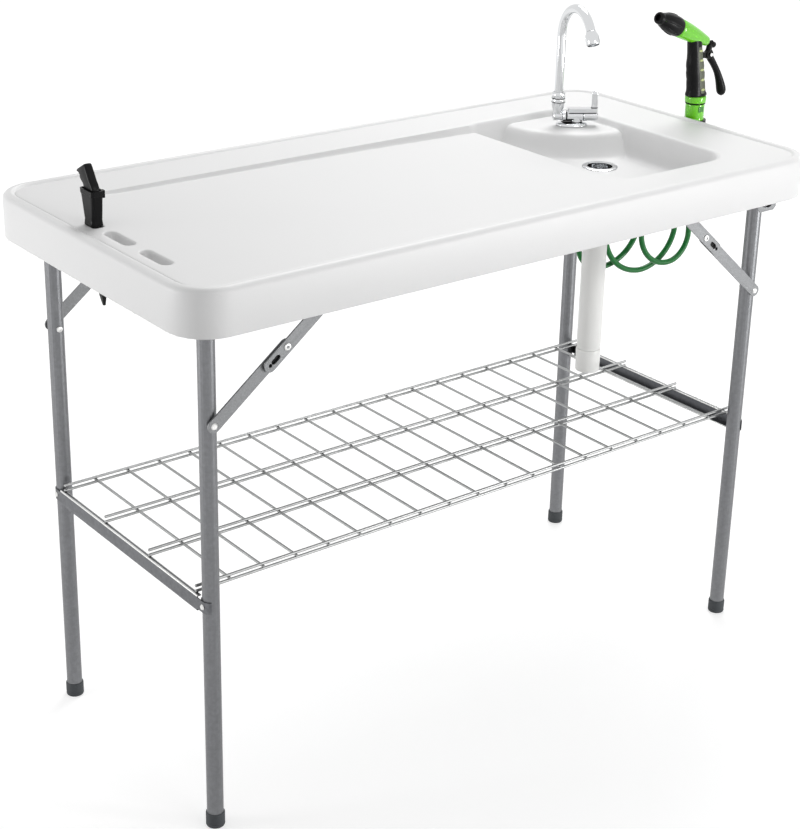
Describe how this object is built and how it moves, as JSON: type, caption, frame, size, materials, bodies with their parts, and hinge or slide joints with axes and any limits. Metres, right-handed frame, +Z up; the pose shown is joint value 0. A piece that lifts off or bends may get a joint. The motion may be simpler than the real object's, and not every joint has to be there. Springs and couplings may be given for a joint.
{
  "type": "folding fish cleaning table",
  "caption": "Folding work table with a moulded white top, sink, tap, drain hose, wire rack, locking leg braces, a hand sprayer on a looped hose and a knife in a sheath.",
  "frame": {"origin": "on the floor, midway between the two leg frames and between the front and rear legs", "axes": "+X along the table towards the sink, +Y from the front edge to the rear edge, +Z up"},
  "size_m": [1.3125, 0.584, 1.091],
  "materials": {
    "white_moulding": "fine grained",
    "grey_steel": "hammered powder coat",
    "dark_rubber": "matte",
    "zinc": "zinc plated",
    "chrome": "polished",
    "white_plastic": "smooth",
    "green_hose": "smooth",
    "lime_plastic": "smooth",
    "blade_steel": "brushed",
    "black_plastic": "satin"
  },
  "bodies": {
    "table": {"tabletop": "white_moulding", "side_rail_front": "grey_steel", "side_rail_rear": "grey_steel", "drain_flange": "chrome", "drain_nut": "white_plastic", "tap_base": "chrome", "tap_nut": "zinc", "supply_tee": "zinc", "sprayer_holder": "black_plastic", "quick_connector": "lime_plastic", "spray_hose": "green_hose"},
    "left_frame": {"left_pivot_tube": "grey_steel", "left_rack_plate": "grey_steel", "leg_left_front": "grey_steel", "foot_left_front": "dark_rubber", "leg_rivet_left_front": "zinc", "plate_bolt_left_front": "zinc", "leg_left_rear": "grey_steel", "foot_left_rear": "dark_rubber", "leg_rivet_left_rear": "zinc", "plate_bolt_left_rear": "zinc"},
    "right_frame": {"right_pivot_tube": "grey_steel", "right_rack_plate": "grey_steel", "leg_right_front": "grey_steel", "foot_right_front": "dark_rubber", "leg_rivet_right_front": "zinc", "plate_bolt_right_front": "zinc", "leg_right_rear": "grey_steel", "foot_right_rear": "dark_rubber", "leg_rivet_right_rear": "zinc", "plate_bolt_right_rear": "zinc"},
    "left_lower_links": {"lower_link_left_front": "grey_steel", "lower_link_left_rear": "grey_steel"},
    "left_upper_links": {"upper_link_left_front": "grey_steel", "upper_link_left_rear": "grey_steel"},
    "right_lower_links": {"lower_link_right_front": "grey_steel", "lower_link_right_rear": "grey_steel"},
    "right_upper_links": {"upper_link_right_front": "grey_steel", "upper_link_right_rear": "grey_steel"},
    "drain_pipe": {"drain_hose": "white_plastic", "drain_hose_collar": "white_plastic"},
    "rack": {"wire_rack": "zinc"},
    "strainer": {"drain_strainer": "chrome"},
    "lever": {"tap_lever": "chrome"},
    "spout_mount": {"spout_block": "chrome"},
    "spout_arch": {"spout": "chrome", "aerator": "chrome"},
    "sprayer": {"sprayer_collar": "lime_plastic", "sprayer_grip": "black_plastic", "sprayer_body": "lime_plastic", "valve_rod": "black_plastic", "trigger_pin": "zinc"},
    "nozzle": {"sprayer_nozzle": "black_plastic"},
    "trigger": {"sprayer_trigger": "black_plastic"},
    "sheath": {"knife_sheath": "black_plastic"},
    "knife": {"knife_blade": "blade_steel", "knife_handle": "black_plastic"}
  },
  "joints": [
    {"name": "left_leg_fold", "type": "hinge", "parent": "table", "child": "left_frame", "pos_m": [-0.545, 0, 0.83], "axis": [0, -1, 0], "range_deg": [0, 90]},
    {"name": "right_leg_fold", "type": "hinge", "parent": "table", "child": "right_frame", "pos_m": [0.545, 0, 0.799], "axis": [0, 1, 0], "range_deg": [0, 90]},
    {"name": "left_brace_lower", "type": "hinge", "parent": "left_frame", "child": "left_lower_links", "pos_m": [-0.545, 0, 0.661], "axis": [0, 1, 0], "range_deg": [0, 148.15]},
    {"name": "left_brace_upper", "type": "hinge", "parent": "table", "child": "left_upper_links", "pos_m": [-0.3386, 0, 0.8234], "axis": [0, -1, 0], "range_deg": [0, 118.54]},
    {"name": "right_brace_lower", "type": "hinge", "parent": "right_frame", "child": "right_lower_links", "pos_m": [0.545, 0, 0.635], "axis": [0, -1, 0], "range_deg": [0, 124.55]},
    {"name": "right_brace_upper", "type": "hinge", "parent": "table", "child": "right_upper_links", "pos_m": [0.316, 0, 0.836], "axis": [0, 1, 0], "range_deg": [0, 131.39]},
    {"name": "drain_hose_pull", "type": "slide", "parent": "table", "child": "drain_pipe", "axis": [0, 0, -1], "range_m": [0, 0.421]},
    {"name": "rack_removal", "type": "slide", "parent": "drain_pipe", "child": "rack", "axis": [0, 0, -1], "range_m": [0, 0.421]},
    {"name": "strainer_lift", "type": "slide", "parent": "table", "child": "strainer", "axis": [0, 0, 1], "range_m": [0, 0.03]},
    {"name": "tap_lever_turn", "type": "hinge", "parent": "table", "child": "lever", "pos_m": [0.45605, 0.09822, 0.883], "axis": [0.848, -0.5299, 0], "range_deg": [0, 80]},
    {"name": "spout_fold", "type": "hinge", "parent": "table", "child": "spout_mount", "pos_m": [0.40601, 0.12949, 0.883], "axis": [-0.848, 0.5299, 0], "range_deg": [0, 85]},
    {"name": "spout_swivel", "type": "hinge", "parent": "spout_mount", "child": "spout_arch", "pos_m": [0.40601, 0.12949, 0.926], "axis": [0, 0, 1], "range_deg": [-106, 74]},
    {"name": "sprayer_unplug", "type": "slide", "parent": "table", "child": "sprayer", "axis": [0, 0, 1], "range_m": [0, 0.03]},
    {"name": "nozzle_twist", "type": "hinge", "parent": "sprayer", "child": "nozzle", "pos_m": [0.57485, 0.015, 1.04254], "axis": [-0.915, 0, 0.4035], "range_deg": [0, 180]},
    {"name": "trigger_squeeze", "type": "hinge", "parent": "sprayer", "child": "trigger", "pos_m": [0.658, 0.015, 0.9855], "axis": [0, 1, 0], "range_deg": [0, 18], "stiffness_Nm_per_rad": 0.8, "springref_deg": -11.46},
    {"name": "sheath_lift", "type": "slide", "parent": "table", "child": "sheath", "axis": [0, 0.1736, 0.9848], "range_m": [0, 0.12]},
    {"name": "knife_draw", "type": "slide", "parent": "sheath", "child": "knife", "axis": [0, 0.1736, 0.9848], "range_m": [0, 0.165]}
  ],
  "couplings": [
    {"joint": "left_brace_lower", "follows": "left_leg_fold", "ratio": 1.646},
    {"joint": "left_brace_upper", "follows": "left_leg_fold", "ratio": 1.317},
    {"joint": "right_brace_lower", "follows": "right_leg_fold", "ratio": 1.3838},
    {"joint": "right_brace_upper", "follows": "right_leg_fold", "ratio": 1.4598},
    {"joint": "drain_hose_pull", "follows": "left_leg_fold", "m_per_rad": 0.26738},
    {"joint": "rack_removal", "follows": "right_leg_fold", "m_per_rad": 0.26738}
  ]
}
